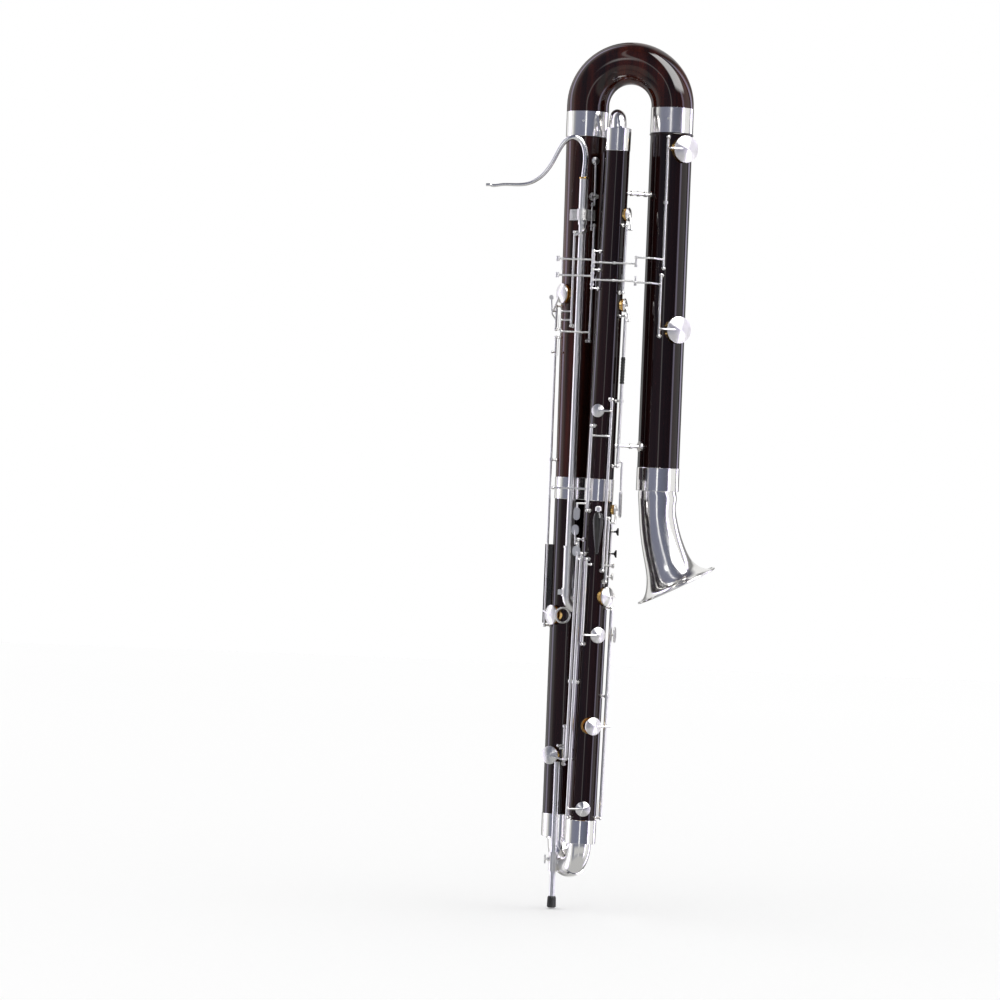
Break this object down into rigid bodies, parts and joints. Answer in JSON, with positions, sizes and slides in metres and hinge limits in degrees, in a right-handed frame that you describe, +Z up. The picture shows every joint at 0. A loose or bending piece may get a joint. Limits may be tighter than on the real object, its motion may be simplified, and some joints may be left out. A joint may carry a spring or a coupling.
{
  "type": "contrabassoon",
  "caption": "Upright double-reed bass wind instrument: folded wooden tubes with metal ferrules and bends, a downturned flared metal bell, curved bocal, rod-mounted keys and an endpin",
  "frame": {"origin": "the endpin's rubber tip, where it meets the floor", "axes": "+Z runs up the long joint, +X points to the bell's side, -Y to the side with the key cups"},
  "size_m": [0.4227, 0.1673, 1.5044],
  "materials": {
    "wood": "ebonised maple under deep gloss lacquer, dark red-brown in the light",
    "nickel": "polished nickel-silver plate",
    "steel": "polished steel rod",
    "silver": "silver plate, highly polished",
    "brass": "polished brass",
    "pad": "tan leather over felt",
    "cork": "cork",
    "rubber": "black rubber",
    "grey": "dark grey hard rubber",
    "ring": "turned gilt ring"
  },
  "bodies": {
    "instrument": {"long_joint_lower": "wood", "long_joint_upper": "wood", "front_joint_lower": "wood", "front_joint_upper": "wood", "wing_joint": "wood", "bell_joint": "wood", "top_bow": "wood", "bell": "silver", "top_return_bend": "silver", "bottom_bow": "silver", "bow_guard": "silver", "ferrules": "silver", "tenon_corks": "cork", "receiver_bracket": "nickel", "small_screws": "nickel", "downtube": "silver", "downtube_sleeve": "silver", "endpin_socket": "nickel", "hand_rest": "grey", "guard_plate": "grey", "braces": "nickel", "key_posts": "nickel", "pivot_rods": "steel", "needle_springs": "steel", "tone_hole_rings": "ring"},
    "receiver": {"receiver": "silver", "receiver_ring": "brass"},
    "bocal": {"bocal": "silver"},
    "drain_bend": {"drain_bend": "silver"},
    "endpin": {"endpin": "steel", "endpin_tip": "rubber"},
    "endpin_screw": {"endpin_screw": "nickel"},
    "hand_rest_knob": {"hand_rest_knob": "nickel"},
    "vent_lever": {"vent_lever": "nickel"},
    "bell_upper_key": {"bell_upper_key": "nickel", "bell_upper_pad": "pad"},
    "bell_lower_key": {"bell_lower_key": "nickel", "bell_lower_pad": "pad"},
    "upper_rocker": {"upper_rocker": "nickel"},
    "lower_rocker": {"lower_rocker": "nickel"},
    "left_high_key": {"left_high_key": "nickel", "left_high_pad": "pad"},
    "vent_key": {"vent_key": "nickel"},
    "vent_rod": {"vent_rod": "nickel"},
    "right_high_key": {"right_high_key": "nickel"},
    "blade_key": {"blade_key": "nickel"},
    "front_high_key": {"front_high_key": "nickel"},
    "side_cup_key": {"side_cup_key": "nickel"},
    "thumb_plate_key": {"thumb_plate_key": "nickel"},
    "right_low_key": {"right_low_key": "nickel", "right_low_pad": "pad"},
    "middle_front_key": {"middle_front_key": "nickel"},
    "right_long_key": {"right_long_key": "nickel", "right_long_pad": "pad"},
    "low_front_key": {"low_front_key": "nickel"},
    "low_left_rod": {"low_left_rod": "nickel"},
    "low_left_key": {"low_left_key": "nickel", "low_left_pad": "pad"},
    "left_long_key": {"left_long_key": "nickel", "left_long_pad": "pad"}
  },
  "joints": [
    {"name": "receiver_slide", "type": "slide", "parent": "instrument", "child": "receiver", "axis": [0, 0, 1], "range_m": [0, 0.022]},
    {"name": "bocal_swivel", "type": "hinge", "parent": "receiver", "child": "bocal", "pos_m": [0.0062, -0.005, 1.262], "axis": [0, 0, 1], "range_deg": [-8, 75]},
    {"name": "drain_bend_slide", "type": "slide", "parent": "instrument", "child": "drain_bend", "axis": [0, 0, -1], "range_m": [0, 0.03]},
    {"name": "endpin_slide", "type": "slide", "parent": "instrument", "child": "endpin", "axis": [0, 0, -1], "range_m": [0, 0.1]},
    {"name": "endpin_screw_turn", "type": "hinge", "parent": "instrument", "child": "endpin_screw", "pos_m": [-0.0078, 0, 0.0835], "axis": [-1, 0, 0], "range_deg": [0, 360]},
    {"name": "hand_rest_knob_turn", "type": "hinge", "parent": "instrument", "child": "hand_rest_knob", "pos_m": [0.05227, -0.07453, 0.688], "axis": [0, 0, 1], "range_deg": [0, 360]},
    {"name": "bell_upper_key_hinge", "type": "hinge", "parent": "instrument", "child": "bell_upper_key", "pos_m": [0.1478, -0.0355, 1.112], "axis": [0, 0, 1], "range_deg": [0, 7], "stiffness_Nm_per_rad": 0.03, "springref_deg": -8.59},
    {"name": "bell_lower_key_hinge", "type": "hinge", "parent": "instrument", "child": "bell_lower_key", "pos_m": [0.1448, -0.035, 0.995], "axis": [0, 0, 1], "range_deg": [0, 7], "stiffness_Nm_per_rad": 0.03, "springref_deg": -8.59},
    {"name": "upper_rocker_hinge", "type": "hinge", "parent": "instrument", "child": "upper_rocker", "pos_m": [0.02672, -0.052, 1.104], "axis": [0.015, 0, 0.9999], "range_deg": [-4.61, 0.01]},
    {"name": "lower_rocker_hinge", "type": "hinge", "parent": "instrument", "child": "lower_rocker", "pos_m": [0.02624, -0.052, 1.072], "axis": [0.015, 0, 0.9999], "range_deg": [-4.61, 0.01]},
    {"name": "left_high_key_hinge", "type": "hinge", "parent": "instrument", "child": "left_high_key", "pos_m": [-0.032, 0.033, 1.002], "axis": [0, 0, 1], "range_deg": [0, 6], "stiffness_Nm_per_rad": 0.03, "springref_deg": -8.59},
    {"name": "vent_key_hinge", "type": "hinge", "parent": "instrument", "child": "vent_key", "pos_m": [-0.006, 0, 1.008], "axis": [0, 0, 1], "range_deg": [-9, 0], "stiffness_Nm_per_rad": 0.03, "springref_deg": 8.59},
    {"name": "vent_rod_hinge", "type": "hinge", "parent": "instrument", "child": "vent_rod", "pos_m": [0.027, 0, 0.983], "axis": [0, 0, 1], "range_deg": [-6, 0], "stiffness_Nm_per_rad": 0.03, "springref_deg": 8.59},
    {"name": "right_high_key_hinge", "type": "hinge", "parent": "instrument", "child": "right_high_key", "pos_m": [0.07924, -0.0608, 1.066], "axis": [0.015, 0, 0.9999], "range_deg": [-8, 0], "stiffness_Nm_per_rad": 0.03, "springref_deg": 8.59},
    {"name": "blade_key_hinge", "type": "hinge", "parent": "instrument", "child": "blade_key", "pos_m": [0.08197, -0.057, 0.768], "axis": [0.015, 0, 0.9999], "range_deg": [-8, 0], "stiffness_Nm_per_rad": 0.03, "springref_deg": 8.59},
    {"name": "front_high_key_hinge", "type": "hinge", "parent": "instrument", "child": "front_high_key", "pos_m": [0.06377, -0.067, 0.588], "axis": [0.015, 0, 0.9999], "range_deg": [0, 8], "stiffness_Nm_per_rad": 0.03, "springref_deg": -8.59},
    {"name": "side_cup_key_hinge", "type": "hinge", "parent": "instrument", "child": "side_cup_key", "pos_m": [0.06928, -0.063, 0.569], "axis": [0.015, 0, 0.9999], "range_deg": [-8, 0], "stiffness_Nm_per_rad": 0.03, "springref_deg": 8.59},
    {"name": "thumb_plate_key_hinge", "type": "hinge", "parent": "instrument", "child": "thumb_plate_key", "pos_m": [0.0329, -0.064, 0.69], "axis": [0.015, 0, 0.9999], "range_deg": [-6.41, 0.01]},
    {"name": "right_low_key_hinge", "type": "hinge", "parent": "instrument", "child": "right_low_key", "pos_m": [0.07441, -0.02, 0.531], "axis": [0.015, 0, 0.9999], "range_deg": [0, 8], "stiffness_Nm_per_rad": 0.03, "springref_deg": -8.59},
    {"name": "middle_front_key_hinge", "type": "hinge", "parent": "instrument", "child": "middle_front_key", "pos_m": [0.03286, -0.068, 0.461], "axis": [0.015, 0, 0.9999], "range_deg": [-8, 0], "stiffness_Nm_per_rad": 0.03, "springref_deg": 8.59},
    {"name": "right_long_key_hinge", "type": "hinge", "parent": "instrument", "child": "right_long_key", "pos_m": [0.07667, -0.052, 0.162], "axis": [0.015, 0, 0.9999], "range_deg": [-20, 0], "stiffness_Nm_per_rad": 0.03, "springref_deg": 8.59},
    {"name": "low_front_key_hinge", "type": "hinge", "parent": "instrument", "child": "low_front_key", "pos_m": [0.01968, -0.062, 0.162], "axis": [0.015, 0, 0.9999], "range_deg": [-8, 0], "stiffness_Nm_per_rad": 0.03, "springref_deg": 8.59},
    {"name": "low_left_rod_hinge", "type": "hinge", "parent": "instrument", "child": "low_left_rod", "pos_m": [0.01468, -0.055, 0.262], "axis": [0.015, 0, 0.9999], "range_deg": [0, 7.5], "stiffness_Nm_per_rad": 0.03, "springref_deg": -8.59},
    {"name": "low_left_key_hinge", "type": "hinge", "parent": "instrument", "child": "low_left_key", "pos_m": [0.011, 0.0016, 0.249], "axis": [0, 0, 1], "range_deg": [-6.01, 0.01]},
    {"name": "left_long_key_hinge", "type": "hinge", "parent": "instrument", "child": "left_long_key", "pos_m": [-0.031, 0.033, 0.487], "axis": [0, 0, 1], "range_deg": [0, 8], "stiffness_Nm_per_rad": 0.03, "springref_deg": -8.59},
    {"name": "vent_lever_hinge", "type": "hinge", "parent": "instrument", "child": "vent_lever", "pos_m": [0.02597, 0.00288, 1.233], "axis": [0.9135, 0.4067, 0], "range_deg": [-0.01, 2.21]}
  ],
  "couplings": [
    {"joint": "upper_rocker_hinge", "follows": "bell_upper_key_hinge", "ratio": -0.657},
    {"joint": "lower_rocker_hinge", "follows": "bell_lower_key_hinge", "ratio": -0.657},
    {"joint": "vent_lever_hinge", "follows": "vent_rod_hinge", "ratio": -0.367},
    {"joint": "low_left_key_hinge", "follows": "low_left_rod_hinge", "ratio": -0.8},
    {"joint": "thumb_plate_key_hinge", "follows": "front_high_key_hinge", "ratio": -0.8}
  ]
}
